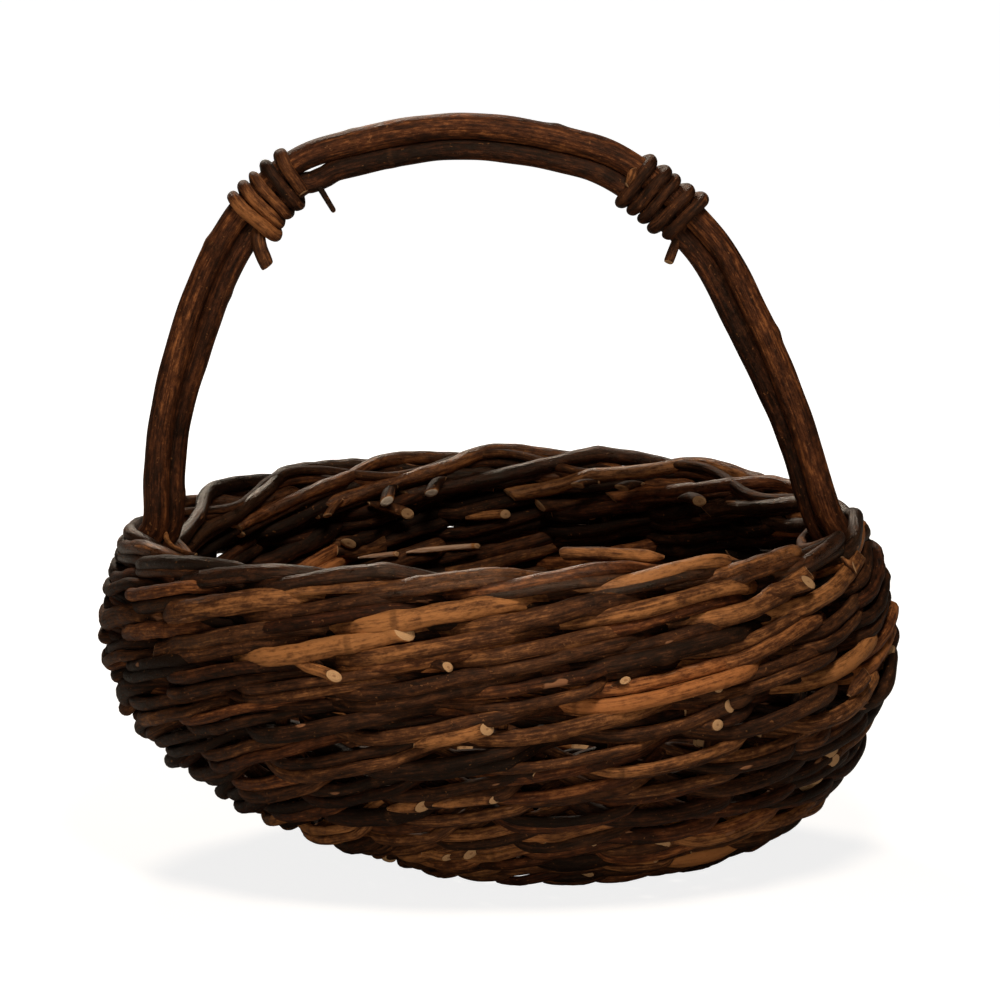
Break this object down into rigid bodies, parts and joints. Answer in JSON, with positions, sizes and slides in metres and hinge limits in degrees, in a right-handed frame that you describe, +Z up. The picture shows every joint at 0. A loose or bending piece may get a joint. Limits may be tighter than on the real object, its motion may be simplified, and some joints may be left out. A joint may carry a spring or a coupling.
{
  "type": "twig basket",
  "caption": "Round-bellied basket woven from dark unpeeled twigs, with a twig border and a bow handle of two rods bound with vine at both shoulders.",
  "frame": {"origin": "middle of the bounding box, on the surface that the basket stands on", "axes": "+Z up, X across the handle's arch with +X to the right in the picture, -Y towards the front"},
  "size_m": [0.4001, 0.3692, 0.375],
  "materials": {
    "wall_twigs": "unpeeled bark",
    "stake_twigs": "unpeeled bark",
    "base_twigs": "unpeeled bark",
    "handle_rods": "smooth bark",
    "binding_vine": "vine bark"
  },
  "bodies": {
    "root": {"wall_course_01": "wall_twigs", "wall_course_02": "wall_twigs", "wall_course_03": "wall_twigs", "wall_course_04": "wall_twigs", "wall_course_05": "wall_twigs", "wall_course_06": "wall_twigs", "wall_course_07": "wall_twigs", "wall_course_08": "wall_twigs", "wall_course_09": "wall_twigs", "wall_course_10": "wall_twigs", "wall_course_11": "wall_twigs", "wall_course_12": "wall_twigs", "side_stake_01": "stake_twigs", "side_stake_02": "stake_twigs", "side_stake_03": "stake_twigs", "side_stake_04": "stake_twigs", "side_stake_05": "stake_twigs", "side_stake_06": "stake_twigs", "side_stake_07": "stake_twigs", "side_stake_08": "stake_twigs", "side_stake_09": "stake_twigs", "side_stake_10": "stake_twigs", "side_stake_11": "stake_twigs", "side_stake_12": "stake_twigs", "side_stake_13": "stake_twigs", "side_stake_14": "stake_twigs", "side_stake_15": "stake_twigs", "side_stake_16": "stake_twigs", "side_stake_17": "stake_twigs", "side_stake_18": "stake_twigs", "side_stake_19": "stake_twigs", "side_stake_20": "stake_twigs", "base_stick_01": "base_twigs", "base_stick_02": "base_twigs", "base_stick_03": "base_twigs", "base_stick_04": "base_twigs", "base_stick_05": "base_twigs", "base_stick_06": "base_twigs", "base_stick_07": "base_twigs", "base_stick_08": "base_twigs", "base_stick_09": "base_twigs", "base_stick_10": "base_twigs", "base_weaver_1": "base_twigs", "base_weaver_2": "base_twigs", "handle_outer_rod": "handle_rods", "handle_inner_rod": "handle_rods", "left_binding": "binding_vine", "right_binding": "binding_vine"}
  },
  "joints": []
}
